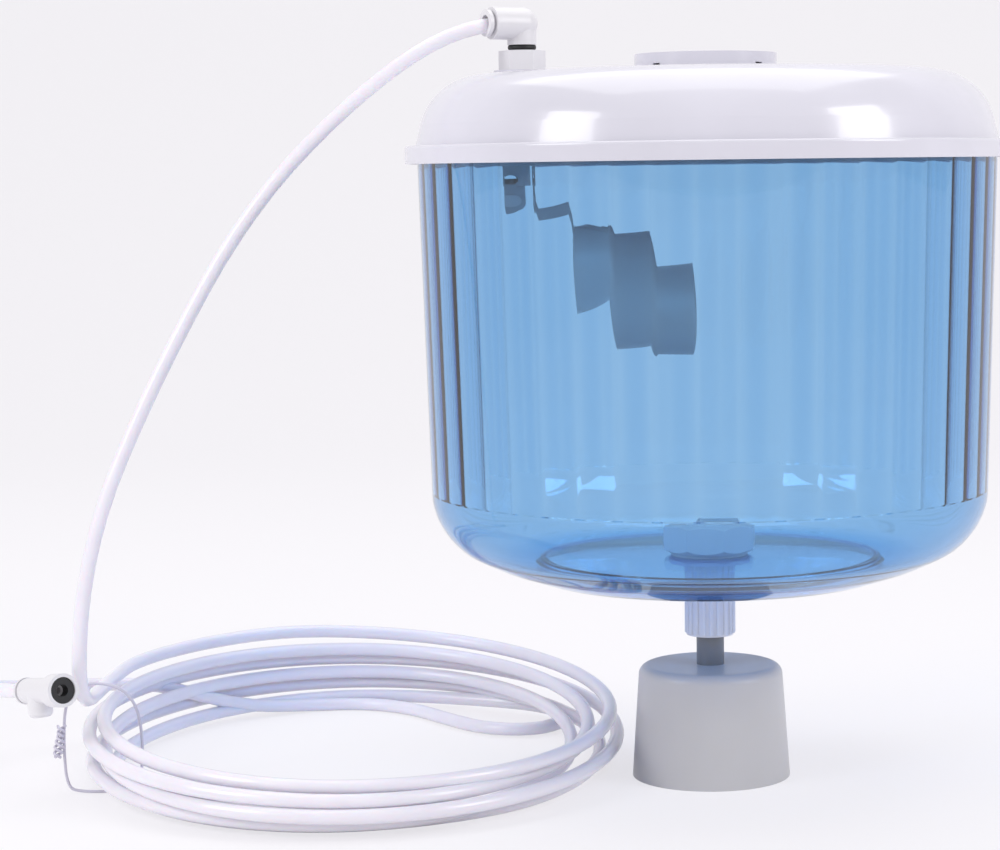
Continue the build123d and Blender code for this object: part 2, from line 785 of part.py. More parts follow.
def make_coil_tie():
    """A flat band around the coil's left side, with its twisted ends hanging outside."""
    aside = (tie_y - coil_centre[1]) / coil_half_depth
    outer_x = coil_centre[0] - coil_half_width * (1 - aside**2) ** 0.5
    inner_half = coil_half_width - coil_strand_width
    inner_aside = (tie_y - coil_centre[1]) / (coil_half_depth - coil_strand_width)
    inner_x = coil_centre[0] - inner_half * (1 - inner_aside**2) ** 0.5
    width = inner_x - outer_x + 2 * RUNNING_GAP
    band = Box(width + 2 * tie_thickness, tie_width, tie_height) - Box(
        width, 2 * tie_width, tie_height - 2 * tie_thickness
    )
    middle_x = (outer_x + inner_x) / 2
    band = Pos(middle_x, tie_y, tie_height / 2 + SEAT_FIT) * band
    tail = Cylinder(tie_tail_radius, tie_tail_length, align=(Align.CENTER, Align.CENTER, Align.MAX))
    tail_x = outer_x - RUNNING_GAP - tie_thickness - tie_tail_radius / 2
    return band + Pos(tail_x, tie_y, tie_height - tie_tail_drop) * Rot(0, tie_tail_lean, 0) * tail


PIECES = {
    "outlet_float": make_outlet_float(),
    "outlet_float_disc": make_float_disc(),
    "outlet_stem": make_outlet_stem(),
    "outlet_seal": make_outlet_seal(),
    "stem_retainer": make_stem_retainer(),
    "outlet_neck": make_outlet_neck(),
    "outlet_nut": make_outlet_nut(),
    "outer_washer": make_outlet_washer(flange_top),
    "inner_washer": make_outlet_washer(floor_top),
    "tank": make_tank(),
    "lid": make_lid(),
    "vent_cap": make_vent_cap(),
    "vent_filter": make_vent_filter(),
    "inlet_nut": make_inlet_nut(),
    "inlet_washer": make_inlet_washer(),
    "valve_body": make_valve_body(),
    "valve_plunger": make_plunger(),
    "plunger_seal": make_plunger_seal(),
    "float_lever": make_float_lever(),
    "lever_pin": make_lever_pin(),
    "inlet_float": make_inlet_float(),
    "inlet_elbow": make_inlet_elbow(),
    "elbow_ring": make_elbow_ring(),
    "elbow_tube_seal": at_elbow(make_tube_seal(elbow_reach)),
    "elbow_collet": at_elbow(make_collet(elbow_reach)),
    "tap_adapter": make_tap_adapter(),
    "adapter_seal": make_adapter_seal(),
    "adapter_tube_seal": at_adapter(make_tube_seal(adapter_length)),
    "adapter_collet": at_adapter(make_collet(adapter_length)),
    "supply_tube": make_tube(supply_points(), "supply tube"),
    "tap_tube": make_tube(tap_points(), "tap tube"),
    "tube_coil": make_tube_coil(),
    "coil_tie": make_coil_tie(),
}

os.makedirs("parts", exist_ok=True)
for name, piece in PIECES.items():
    export_step(piece, f"parts/{name}.step")
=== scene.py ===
from math import cos, pi, radians, sin, tan

import bmesh
import bpy
from bpy.props import FloatProperty, FloatVectorProperty, IntProperty, PointerProperty
from mathutils import Matrix, Vector


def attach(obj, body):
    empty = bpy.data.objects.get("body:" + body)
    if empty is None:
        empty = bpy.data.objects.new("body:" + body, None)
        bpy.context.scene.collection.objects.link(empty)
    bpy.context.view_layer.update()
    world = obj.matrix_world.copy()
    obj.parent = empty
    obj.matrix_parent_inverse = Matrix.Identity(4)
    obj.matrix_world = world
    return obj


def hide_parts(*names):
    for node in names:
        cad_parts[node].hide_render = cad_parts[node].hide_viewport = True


bl_info = {
    "name": "Water dispenser bottle",
    "version": (1, 0, 0),
    "blender": (4, 5, 0),
    "location": "View3D > Sidebar > Bottle",
    "description": "Dresses a fluted dispenser bottle, its lid, valve and tube around its packed model",
    "category": "Object",
}

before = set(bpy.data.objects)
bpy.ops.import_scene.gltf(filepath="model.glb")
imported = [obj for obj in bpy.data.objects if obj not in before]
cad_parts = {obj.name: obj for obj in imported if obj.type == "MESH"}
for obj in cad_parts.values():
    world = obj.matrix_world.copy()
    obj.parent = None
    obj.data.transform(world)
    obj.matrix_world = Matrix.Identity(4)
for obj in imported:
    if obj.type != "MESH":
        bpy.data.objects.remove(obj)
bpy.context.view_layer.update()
MM = 0.001


# Shader wiring


class Wire:
    """One value on its way through a node tree, with the usual operators on it."""

    def __init__(self, tree, socket):
        self.tree = tree
        self.socket = socket

    def maths(self, operation, *others):
        return self.tree.add("ShaderNodeMath", {"operation": operation}, self, *others)

    def __add__(self, other):
        return self.maths("ADD", other)

    def __sub__(self, other):
        return self.maths("SUBTRACT", other)

    def __rsub__(self, other):
        return self.tree.add("ShaderNodeMath", {"operation": "SUBTRACT"}, other, self)

    def __mul__(self, other):
        return self.maths("MULTIPLY", other)

    __radd__ = __add__

    def between(self, low, high):
        """0 below low, 1 above high and smooth in between."""
        settings = {"interpolation_type": "SMOOTHSTEP"}
        return self.tree.add("ShaderNodeMapRange", settings, self, low, high)


class Finish:
    """A material whose nodes are added one by one."""

    def __init__(self, name):
        self.material = bpy.data.materials.new(name)
        self.material.use_nodes = True
        self.nodes = self.material.node_tree.nodes
        self.links = self.material.node_tree.links
        self.nodes.clear()
        self.output = self.nodes.new("ShaderNodeOutputMaterial")

    def plug(self, value, socket):
        if isinstance(value, Wire):
            self.links.new(value.socket, socket)
        elif value is not None:
            socket.default_value = value

    def add(self, kind, settings=None, *values, out=0, **named):
        """A node of a kind: its settings first, then what its sockets get by order or by name."""
        node = self.nodes.new(kind)
        for key, value in (settings or {}).items():
            setattr(node, key, value)
        for socket, value in zip([s for s in node.inputs if s.enabled], values):
            self.plug(value, socket)
        for key, value in named.items():
            self.plug(value, node.inputs[key.replace("_", " ")])
        return Wire(self, node.outputs[out])

    def place(self):
        return self.add("ShaderNodeTexCoord", out="Object")

    def noise(self, scale, detail=2.0, where=None):
        named = {"Vector": where or self.place(), "Scale": scale, "Detail": detail}
        return self.add("ShaderNodeTexNoise", None, **named)

    def blend(self, share, first, second):
        """A colour between two colours."""
        node = self.nodes.new("ShaderNodeMix")
        node.data_type = "RGBA"
        self.plug(share, node.inputs[0])
        self.plug(first, node.inputs[6])
        self.plug(second, node.inputs[7])
        return Wire(self, node.outputs[2])

    def bump(self, height, distance, strength=1.0):
        return self.add("ShaderNodeBump", None, Height=height, Distance=distance, Strength=strength)

    def body(self, **named):
        """The main shader. Its sockets are named with underscores for spaces."""
        return self.add("ShaderNodeBsdfPrincipled", None, **named)

    def done(self, surface, volume=None):
        self.plug(surface, self.output.inputs["Surface"])
        if volume is not None:
            self.plug(volume, self.output.inputs["Volume"])
        return self.material


def rgba(colour):
    return (*colour[:3], 1.0)


# Sizes and colours


class BottleStage(bpy.types.PropertyGroup):
    camera_place: FloatVectorProperty(
        name="Camera place", description="Where the camera stands", default=(-0.048, -1.150, 0.2699),
        subtype="TRANSLATION", unit="LENGTH",
    )
    camera_lens: FloatProperty(
        name="Lens", description="Focal length in millimetres", default=93.96, subtype="DISTANCE_CAMERA"
    )
    camera_tilt: FloatProperty(
        name="Tilt", description="How far the camera looks down", default=radians(5.58),
        subtype="ANGLE", unit="ROTATION",
    )
    camera_roll: FloatProperty(
        name="Roll", description="Turn about the line of sight", default=radians(-0.72),
        subtype="ANGLE", unit="ROTATION",
    )
    camera_shift: FloatProperty(
        name="Shift", description="Sideways shift of the picture, as a share of its width", default=-0.1
    )
    floor_colour: FloatVectorProperty(
        name="Floor", description="Colour of the floor and backdrop", default=(0.93, 0.92, 0.94), size=3,
        min=0, max=1, subtype="COLOR",
    )
    lamp_power: FloatProperty(name="Lamps", description="Power of each soft box in watts", default=9.0, min=0)
    sky_level: FloatProperty(
        name="Sky", description="Strength of the light from all round", default=0.60, min=0
    )


class BottleTank(bpy.types.PropertyGroup):
    radius: FloatProperty(
        name="Radius", description="Outer radius at the rim", default=126.5 * MM,
        subtype="DISTANCE", unit="LENGTH",
    )
    wall: FloatProperty(
        name="Wall", description="Wall thickness", default=2.6 * MM, subtype="DISTANCE", unit="LENGTH"
    )
    flutes: IntProperty(name="Flutes", description="Number of flutes around the inside", default=46, min=3)
    flute_depth: FloatProperty(
        name="Flute depth", description="How far each flute bulges inwards", default=0.3 * MM,
        subtype="DISTANCE", unit="LENGTH",
    )
    colour: FloatVectorProperty(
        name="Tint", description="What the plastic lets through, the more the lighter",
        default=(0.055, 0.555, 0.867), size=3, min=0, max=1, subtype="COLOR",
    )
    depth: FloatProperty(
        name="Tint depth", description="How strongly the plastic tints, per metre", default=265.0, min=0
    )


class BottleTube(bpy.types.PropertyGroup):
    diameter: FloatProperty(
        name="Diameter", description="Outside diameter of the tube", default=6.35 * MM,
        subtype="DISTANCE", unit="LENGTH",
    )
    turns: IntProperty(name="Turns", description="Full turns in the coil", default=5, min=1, max=5)
    colour: FloatVectorProperty(
        name="Colour", description="Colour of the tube", default=(0.80, 0.78, 0.85), size=3,
        min=0, max=1, subtype="COLOR",
    )


class BottlePlastics(bpy.types.PropertyGroup):
    lid: FloatVectorProperty(
        name="Lid", description="Colour of the lid", default=(0.70, 0.69, 0.77), size=3,
        min=0, max=1, subtype="COLOR",
    )
    cup: FloatVectorProperty(
        name="Cup", description="Colour of the lower float", default=(0.56, 0.55, 0.56), size=3, min=0, max=1,
        subtype="COLOR",
    )
    fittings: FloatVectorProperty(
        name="Fittings", description="Colour of the nuts, elbow and neck", default=(0.78, 0.77, 0.80), size=3,
        min=0, max=1, subtype="COLOR",
    )
    rubber: FloatVectorProperty(
        name="Rubber", description="Colour of the rings and seals", default=(0.012, 0.012, 0.014), size=3,
        min=0, max=1, subtype="COLOR",
    )


GROUPS = {
    "bottle_stage": BottleStage,
    "bottle_tank": BottleTank,
    "bottle_tube": BottleTube,
    "bottle_plastics": BottlePlastics,
}


# Making pieces


def piece_from(bm, name, material, body="bottle"):
    """Turn a bmesh into an object that rides on a body."""
    mesh = bpy.data.meshes.new(name)
    bm.to_mesh(mesh)
    bm.free()
    obj = bpy.data.objects.new(name, mesh)
    bpy.context.scene.collection.objects.link(obj)
    mesh.materials.append(material)
    if body:
        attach(obj, body)
    return obj


def dress(node, material):
    """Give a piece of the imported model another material."""
    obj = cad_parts[node]
    for slot in obj.material_slots:
        slot.material = material


def wire_loop(bm, corners):
    """A closed loop of edges through corners of radius and height, in millimetres."""
    verts = [bm.verts.new((radius * MM, 0, height * MM)) for radius, height in corners]
    for first, second in zip(verts, verts[1:] + verts[:1]):
        bm.edges.new((first, second))
    return verts


def round_corner(bm, vert, reach, segments):
    """Replace a loop's corner with an arc that starts reach millimetres away."""
    bmesh.ops.bevel(
        bm, geom=[vert], offset=reach * MM, offset_type="OFFSET", affect="VERTICES", segments=segments,
        profile=0.5, material=-1,
    )


def spin_round(bm, steps):
    """Turn all the edges about Z into a closed skin."""
    geom = bm.verts[:] + bm.edges[:]
    bmesh.ops.spin(bm, geom=geom, cent=(0, 0, 0), axis=(0, 0, 1), angle=2 * pi, steps=steps, use_merge=True)
    bmesh.ops.remove_doubles(bm, verts=bm.verts, dist=0.00001)
    bmesh.ops.recalc_face_normals(bm, faces=bm.faces)


def shade(bm, sharpest):
    """Smooth shading, but for edges sharper than an angle in degrees."""
    for face in bm.faces:
        face.smooth = True
    for edge in bm.edges:
        if len(edge.link_faces) == 2:
            edge.smooth = edge.calc_face_angle(0) < radians(sharpest)


# Camera, floor and lamps

SENSOR_WIDTH = 36.0
FARTHEST_SEEN = 50.0
SKY_COLOUR = (1.0, 0.985, 1.0, 1.0)
FLOOR_WIDTH = 12.0
FLOOR_FRONT = 4.0
FLOOR_BACK = 2.5
BACKDROP_HEIGHT = 4.0
BACKDROP_BEND = 1.2
GLOW_SHARE = 0.72
GLOW_COLOUR = (0.955, 0.94, 0.975, 1.0)
LAMP_AIM = (0, 0, 0.2)
LAMPS = {
    "soft_box_left": ((-1.30, -0.80, 0.85), (0.6, 0.8)),
    "soft_box_right": ((1.30, -0.70, 0.85), (0.6, 0.8)),
    "soft_box_top": ((0, 0.3, 1.5), (1.4, 1.4)),
}


def make_camera(stage):
    camera = bpy.data.objects.new("camera", bpy.data.cameras.new("camera"))
    camera.data.lens = stage.camera_lens
    camera.data.sensor_width = SENSOR_WIDTH
    camera.data.shift_x = stage.camera_shift
    camera.data.clip_end = FARTHEST_SEEN
    turn = Matrix.Rotation(pi / 2 - stage.camera_tilt, 4, "X") @ Matrix.Rotation(stage.camera_roll, 4, "Z")
    camera.matrix_world = Matrix.Translation(stage.camera_place) @ turn
    bpy.context.scene.collection.objects.link(camera)
    bpy.context.scene.camera = camera


def make_floor(stage):
    """A floor that curves up into a backdrop, in one sheet."""
    bm = bmesh.new()
    half = FLOOR_WIDTH / 2
    corners = ((-half, -FLOOR_FRONT, 0), (-half, FLOOR_BACK, 0), (-half, FLOOR_BACK, BACKDROP_HEIGHT))
    verts = [bm.verts.new(place) for place in corners]
    for first, second in zip(verts, verts[1:]):
        bm.edges.new((first, second))
    bmesh.ops.bevel(
        bm, geom=[verts[1]], offset=BACKDROP_BEND, offset_type="OFFSET", affect="VERTICES", segments=16,
        profile=0.5, material=-1,
    )
    ends = bmesh.ops.extrude_edge_only(bm, edges=bm.edges[:])
    moved = [item for item in ends["geom"] if isinstance(item, bmesh.types.BMVert)]
    bmesh.ops.translate(bm, vec=(FLOOR_WIDTH, 0, 0), verts=moved)
    bmesh.ops.recalc_face_normals(bm, faces=bm.faces)
    shade(bm, 60)
    finish = Finish("floor_white")
    seen = finish.add("ShaderNodeLightPath", out="Is Camera Ray")
    glossy = finish.add("ShaderNodeLightPath", out="Is Glossy Ray")
    through = finish.add("ShaderNodeLightPath", out="Is Transmission Ray")
    paper = finish.add("ShaderNodeBsdfDiffuse", None, Color=rgba(stage.floor_colour))
    glow = finish.add("ShaderNodeEmission", None, Color=GLOW_COLOUR, Strength=1.0)
    share = (seen + glossy + through).maths("MINIMUM", 1.0) * GLOW_SHARE
    surface = finish.add("ShaderNodeMixShader", None, share, paper, glow)
    floor = piece_from(bm, "floor", finish.done(surface), None)


def make_lamp(name, place, aim, size, power):
    lamp = bpy.data.lights.new(name, "AREA")
    lamp.shape = "RECTANGLE"
    lamp.size, lamp.size_y = size
    lamp.energy = power
    obj = bpy.data.objects.new(name, lamp)
    way = Vector(aim) - Vector(place)
    obj.matrix_world = Matrix.Translation(place) @ way.to_track_quat("-Z", "Y").to_matrix().to_4x4()
    bpy.context.scene.collection.objects.link(obj)


def make_world(stage):
    world = bpy.data.worlds.new("studio")
    world.use_nodes = True
    back = world.node_tree.nodes["Background"]
    back.inputs["Color"].default_value = SKY_COLOUR
    back.inputs["Strength"].default_value = stage.sky_level
    bpy.context.scene.world = world


class StageOperator(bpy.types.Operator):
    """Sets up the camera, the floor and the soft light"""

    bl_idname = "bottle.stage"
    bl_label = "Stage"

    def execute(self, context):
        stage = context.scene.bottle_stage
        make_camera(stage)
        make_floor(stage)
        make_world(stage)
        for name, (place, size) in LAMPS.items():
            make_lamp(name, place, LAMP_AIM, size, stage.lamp_power)
        context.scene.view_settings.view_transform = "Standard"
        return {"FINISHED"}


# Tank

FOOT_Z = 90.5
FLOOR_UNDER = 95.0
RIM_Z = 278.0
FLUTE_FOOT_Z = 129.4
FOOT_RADIUS = 76.3
FOOT_WIDTH = 2.3
FOOT_EDGE = (94.0, 96.4)
BELLY_ANGLE = radians(25)
CORNER_RADIUS = 30.0
DRAFT = radians(1.5)
BEAD_WIDTH = 2.6
BEAD_HEIGHT = 3.0
NECK_HOLE = 10.8
FLUTE_WALL = 2.3
FLUTE_PHASE = radians(-94.4)
FLUTE_RUN_IN = 0.6
WALL_TOLERANCE = 0.1
STEPS_A_FLUTE = 12
RECESS_LEAN = 1.0
CORNER_SEGMENTS = 14
SMALL_SEGMENTS = 3
# The small rounded corners: which corner of the section, and how far from it the rounding starts
SMALL_CORNERS = ((1, 0.8), (3, 0.8), (4, 3.0), (13, 3.0), (14, 1.5), (15, 0.8), (7, 0.4), (8, 0.4))
SHARPEST_FLUTE = 14
FOOT_TINT = (93.0, 100.0)
FOOT_COLOURS = ((0.97, 0.99, 1, 1), (0.34, 0.70, 0.96, 1))
SHADOW_TINT = (0.78, 0.91, 0.985, 1)
PLASTIC_IOR = 1.585


def wall_at(height, radius, inset=0.0):
    """The drafted wall's radius at a height."""
    return radius - (RIM_Z - height) * tan(DRAFT) - inset / cos(DRAFT)


def belly_at(radius, inset=0.0):
    """The sloping underside's height at a radius."""
    return FOOT_EDGE[1] + (radius - FOOT_EDGE[0]) * tan(BELLY_ANGLE) + inset / cos(BELLY_ANGLE)


def lower_corner(radius, inset=0.0):
    """Where the wall and the underside would meet."""
    slope = tan(BELLY_ANGLE)
    reach = (wall_at(0, radius, inset) + tan(DRAFT) * belly_at(0, inset)) / (1 - tan(DRAFT) * slope)
    return reach, belly_at(reach, inset)


def flute_tanks_wall(bm, tank):
    """Press the flutes into the inner wall: shallow curves that bulge inwards and meet in edges."""
    radius = tank.radius / MM
    step = 2 * pi / tank.flutes
    half_chord_drop = cos(step / 2)
    for vert in bm.verts:
        reach = vert.co.xy.length / MM
        height = vert.co.z / MM
        edge = wall_at(height, radius, FLUTE_WALL)
        if height > FLUTE_FOOT_Z + FLUTE_RUN_IN / 2 and abs(reach - edge) < WALL_TOLERANCE:
            share = ((vert.co.xy.to_2d().angle_signed(Vector((1, 0))) - FLUTE_PHASE) / step) % 1.0
            aside = 2 * share - 1
            chord = edge * half_chord_drop / cos((share - 0.5) * step)
            new = chord - tank.flute_depth / MM * (1 - aside * aside)
            vert.co.xy *= new / reach


def tank_finish(tank):
    finish = Finish("blue_clear_plastic")
    smear = finish.noise(9.0, 1.0)
    ripple = finish.bump(smear, 0.0004, 0.35)
    height = finish.add("ShaderNodeSeparateXYZ", None, finish.place(), out="Z")
    foot = 1.0 - height.between(FOOT_TINT[0] * MM, FOOT_TINT[1] * MM)
    glass = finish.body(
        Base_Color=finish.blend(foot, *FOOT_COLOURS), Roughness=0.02, IOR=PLASTIC_IOR,
        Transmission_Weight=1.0, Normal=ripple,
    )
    clear = finish.add("ShaderNodeBsdfTransparent", None, Color=SHADOW_TINT)
    shadow = finish.add("ShaderNodeLightPath", out="Is Shadow Ray")
    tint = finish.add("ShaderNodeVolumeAbsorption", None, Color=rgba(tank.colour), Density=tank.depth)
    return finish.done(finish.add("ShaderNodeMixShader", None, shadow, glass, clear), tint)


class TankOperator(bpy.types.Operator):
    """Makes the fluted blue tank"""

    bl_idname = "bottle.tank"
    bl_label = "Tank"

    def execute(self, context):
        tank = context.scene.bottle_tank
        radius = tank.radius / MM
        wall = tank.wall / MM
        recess = FOOT_RADIUS - FOOT_WIDTH
        channel = recess + wall
        cone = (FOOT_EDGE[1] - FOOT_Z) / (FOOT_EDGE[0] - FOOT_RADIUS)
        lift = wall * (1 + cone * cone) ** 0.5
        edge_inner = FOOT_EDGE[0] - wall / 4
        flute_start = FLUTE_FOOT_Z + FLUTE_RUN_IN
        bm = bmesh.new()
        corners = wire_loop(
            bm,
            [
                (NECK_HOLE, FLOOR_UNDER),
                (recess - RECESS_LEAN, FLOOR_UNDER),
                (recess, FOOT_Z),
                (FOOT_RADIUS, FOOT_Z),
                FOOT_EDGE,
                lower_corner(radius),
                (wall_at(RIM_Z - BEAD_HEIGHT, radius), RIM_Z - BEAD_HEIGHT),
                (radius + BEAD_WIDTH, RIM_Z - BEAD_HEIGHT),
                (radius + BEAD_WIDTH, RIM_Z),
                (wall_at(RIM_Z, radius, FLUTE_WALL), RIM_Z),
                (wall_at(flute_start, radius, FLUTE_WALL), flute_start),
                (wall_at(FLUTE_FOOT_Z, radius, wall), FLUTE_FOOT_Z),
                lower_corner(radius, wall),
                (edge_inner, FOOT_Z + (edge_inner - FOOT_RADIUS) * cone + lift),
                (channel, FOOT_Z + (channel - FOOT_RADIUS) * cone + lift),
                (channel - RECESS_LEAN, FLOOR_UNDER + wall),
                (NECK_HOLE, FLOOR_UNDER + wall),
            ],
        )
        half_turn = tan((pi / 2 - BELLY_ANGLE - DRAFT) / 2)
        round_corner(bm, corners[5], CORNER_RADIUS * half_turn, CORNER_SEGMENTS)
        round_corner(bm, corners[12], (CORNER_RADIUS - wall) * half_turn, CORNER_SEGMENTS)
        for number, reach in SMALL_CORNERS:
            round_corner(bm, corners[number], reach, SMALL_SEGMENTS)
        spin_round(bm, tank.flutes * STEPS_A_FLUTE)
        bmesh.ops.rotate(bm, cent=(0, 0, 0), matrix=Matrix.Rotation(FLUTE_PHASE, 3, "Z"), verts=bm.verts)
        flute_tanks_wall(bm, tank)
        shade(bm, SHARPEST_FLUTE)
        obj = piece_from(bm, "tank_shell", tank_finish(tank))
        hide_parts("tank")
        return {"FINISHED"}


# Tube

ELBOW_AXIS = Vector((-80.0, 0, 333.8))
ELBOW_REACH = 15.0
TUBE_INSET = 10.7
SUPPLY_ROUTE = [
    (-147.0, -24.0, 306.5), (-197.0, -33.5, 256.0), (-237.5, -40.0, 184.0), (-268.5, -44.0, 114.0),
    (-275.0, -46.0, 40.0), (-274.0, 30.0, 40.0),
]
TAP_ROUTE = [(-268.0, 90.0, 27.0), (-324.0, 60.0, 31.0), (-339.0, 20.5, 40.0)]
ADAPTER_MOUTH = Vector((-277.4, -57.0, 52.7))
ADAPTER_LENGTH = 34.0
ADAPTER_TURN = radians(128)
ADAPTER_PITCH = radians(9)
ELBOW_TURN = radians(210)
COIL_CENTRE = (-162.0, 24.0)
COIL_RADII = (118.5, 137.0)
POINTS_A_TURN = 16
# Where each turn lies at the left, rear, right and front: how far out of the middle line, and how high
LEFT_LANES = [(-1, 40), (-5, 34), (2, 27), (-6, 20), (1, 12), (-8, 4)]
REAR_LANES = [(-1, 41), (-4, 35), (1.5, 29), (-2, 22.5), (2, 16), (-3, 9.5)]
RIGHT_LANES = [(1, 21), (-10, 14), (4, 11), (-18, 6), (-4, 3.3)]
FRONT_LANES = [(-5, 14.5), (2, 13), (5, 6.5), (-3, 3.3), (-11, 3.3)]
# The way from the end of the last turn round the inside of the coil's rear and out to the left
TURN_BACK = [
    (-98, 139, 5), (-73, 124, 3.5), (-64, 99, 3.3), (-80, 78, 3.3), (-105, 84, 3.3), (-124, 107, 3.3),
    (-143, 134, 3.3), (-168, 149, 3.3), (-197, 146, 3.3), (-224, 131, 6), (-248, 109, 17),
]
FIRST_RUN = 24.0
LAST_RUN = 34.0
LAST_TURN_SHARE = 0.3
SETTLE_ROUNDS = 120
SETTLE_PUSH = 0.3
SETTLE_EVEN = 0.05
SETTLE_APART = 8
SETTLE_HELD = 3
STRAND_ROOM = 1.02
FLOOR_ROOM = 0.05
PALER_SHARE = 1.07
ADAPTER_NODES = ("tap_adapter", "adapter_seal", "adapter_tube_seal", "adapter_collet")
TIE_WIRE = 1.3
TIE_KNOT = (-285.0, -27.0, 31.0)
TIE_TWISTS = 3
TIE_TWIST_RADIUS = 1.6
TIE_TWIST_LENGTH = 14.0
TIE_STEPS_A_TWIST = 6
TIE_UNEVEN = (0.35, 1.7)
TIE_DRIFT = 0.12
TIE_COLOUR = (0.62, 0.60, 0.70)
TIE_LOOP = [
    (-284, -24, 3), (-285, -24, 20), (-284, -24, 40), (-278, -24, 49), (-262, -24, 49), (-252, -24, 40),
    (-250, -24, 20), (-252, -24, 3), (-262, -24, 0.9), (-278, -24, 0.9),
]


def coil_points(turns):
    """The coil's turns. Each goes left, rear, right and front, and sinks to the next one's lane."""
    points = []
    for turn in range(turns + 1):
        for number in range(1, POINTS_A_TURN + 1):
            share = number / POINTS_A_TURN
            if turn == turns and share > LAST_TURN_SHARE:
                break
            following = min(turn + 1, turns)
            lanes = [LEFT_LANES[turn], REAR_LANES[turn], RIGHT_LANES[min(turn, turns - 1)],
                     FRONT_LANES[min(turn, turns - 1)], LEFT_LANES[following]]
            quarter = min(int(share * 4), 3)
            along = share * 4 - quarter
            along = along * along * (3 - 2 * along)
            out, height = (a + (b - a) * along for a, b in zip(lanes[quarter], lanes[quarter + 1]))
            angle = 2 * pi * share
            x = COIL_CENTRE[0] - (COIL_RADII[0] + out) * cos(angle)
            y = COIL_CENTRE[1] + (COIL_RADII[1] + out) * sin(angle)
            points.append(Vector((x, y, height)))
    return points


def settle(points, gap, floor):
    """Move strands that lie too close apart, a little at a time."""
    for _ in range(SETTLE_ROUNDS):
        pushes = [Vector() for _ in points]
        for number, point in enumerate(points):
            for other in range(number + SETTLE_APART, len(points)):
                apart = point - points[other]
                if apart.length < gap:
                    push = apart.normalized() * (gap - apart.length) * SETTLE_PUSH
                    pushes[number] += push
                    pushes[other] -= push
        for number in range(SETTLE_HELD, len(points) - SETTLE_HELD):
            points[number] += pushes[number]
            even = (points[number - 1] + points[number + 1]) / 2 - points[number]
            points[number].z = max(points[number].z + even.z * SETTLE_EVEN, floor)
    return points


def tube_points(tube):
    """The whole tube, from inside the elbow to inside the tap's adapter, in millimetres."""
    way = Vector((cos(ELBOW_TURN), sin(ELBOW_TURN), 0))
    start = ELBOW_AXIS + way * (ELBOW_REACH - TUBE_INSET)
    level = cos(ADAPTER_PITCH)
    back = Vector((cos(ADAPTER_TURN) * level, sin(ADAPTER_TURN) * level, -sin(ADAPTER_PITCH)))
    end = ADAPTER_MOUTH + back * (ADAPTER_LENGTH - TUBE_INSET)
    coil = coil_points(tube.turns) + [Vector(place) for place in TURN_BACK]
    coil = settle(coil, tube.diameter / MM * STRAND_ROOM, tube.diameter / MM / 2 + FLOOR_ROOM)
    points = [start, start + way * FIRST_RUN] + [Vector(place) for place in SUPPLY_ROUTE] + coil
    points += [Vector(place) for place in TAP_ROUTE] + [end + back * LAST_RUN, end]
    return points


def round_curve(name, radius, bevel_steps):
    """A curve with a round section and closed ends, still without its wires."""
    curve = bpy.data.curves.new(name, "CURVE")
    curve.dimensions = "3D"
    curve.bevel_depth = radius
    curve.bevel_resolution = bevel_steps
    curve.use_fill_caps = True
    return curve


def add_wire(curve, places, closed):
    """One more wire on a curve, through places in millimetres."""
    spline = curve.splines.new("NURBS")
    spline.points.add(len(places) - 1)
    for point, place in zip(spline.points, places):
        point.co = (*(Vector(place) * MM), 1.0)
    spline.order_u = 3
    spline.use_cyclic_u = closed
    spline.use_endpoint_u = not closed


def make_tie():
    """A thin wire around the coil's left side, with its ends twisted together outside."""
    curve = round_curve("coil_wire_tie", TIE_WIRE / 2 * MM, 3)
    steps = TIE_TWISTS * TIE_STEPS_A_TWIST
    uneven, beat = TIE_UNEVEN
    for side in (0, pi):
        strand = []
        for step in range(steps + 1):
            angle = side + 2 * pi * step / TIE_STEPS_A_TWIST
            reach = TIE_TWIST_RADIUS * (1 + uneven * sin(step * beat))
            x = TIE_KNOT[0] + reach * cos(angle) - TIE_DRIFT * step
            y = TIE_KNOT[1] + reach * sin(angle)
            strand.append((x, y, TIE_KNOT[2] - TIE_TWIST_LENGTH * step / steps))
        add_wire(curve, strand, False)
    add_wire(curve, TIE_LOOP, True)
    curve.materials.append(satin_finish("tie_wire", TIE_COLOUR, 0.35))
    obj = bpy.data.objects.new("coil_wire_tie", curve)
    bpy.context.scene.collection.objects.link(obj)
    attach(obj, "bottle")
    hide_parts("coil_tie")
    return obj


def tube_finish(tube):
    finish = Finish("milky_tube")
    cloud = finish.noise(60.0, 2.0)
    colour = rgba(tube.colour)
    paler = tuple(min(1.0, value * PALER_SHARE) for value in tube.colour) + (1.0,)
    surface = finish.body(
        Base_Color=finish.blend(cloud, colour, paler), Roughness=0.28, Subsurface_Weight=0.25,
        Subsurface_Scale=0.002, Coat_Weight=0.3, Coat_Roughness=0.15, Normal=finish.bump(cloud, 0.0002, 0.2),
    )
    return finish.done(surface)


class TubeOperator(bpy.types.Operator):
    """Lays the tube from the elbow through its coil to the tap's adapter"""

    bl_idname = "bottle.tube"
    bl_label = "Tube"

    def execute(self, context):
        tube = context.scene.bottle_tube
        curve = round_curve("water_tube", tube.diameter / 2, 4)
        curve.resolution_u = 6
        add_wire(curve, tube_points(tube), False)
        curve.materials.append(tube_finish(tube))
        obj = bpy.data.objects.new("water_tube", curve)
        context.scene.collection.objects.link(obj)
        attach(obj, "bottle")
        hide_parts("supply_tube", "tube_coil", "tap_tube")
        ends = [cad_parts[name] for name in ADAPTER_NODES] + [make_tie()]
        return {"FINISHED"}


# Lid, fittings and float

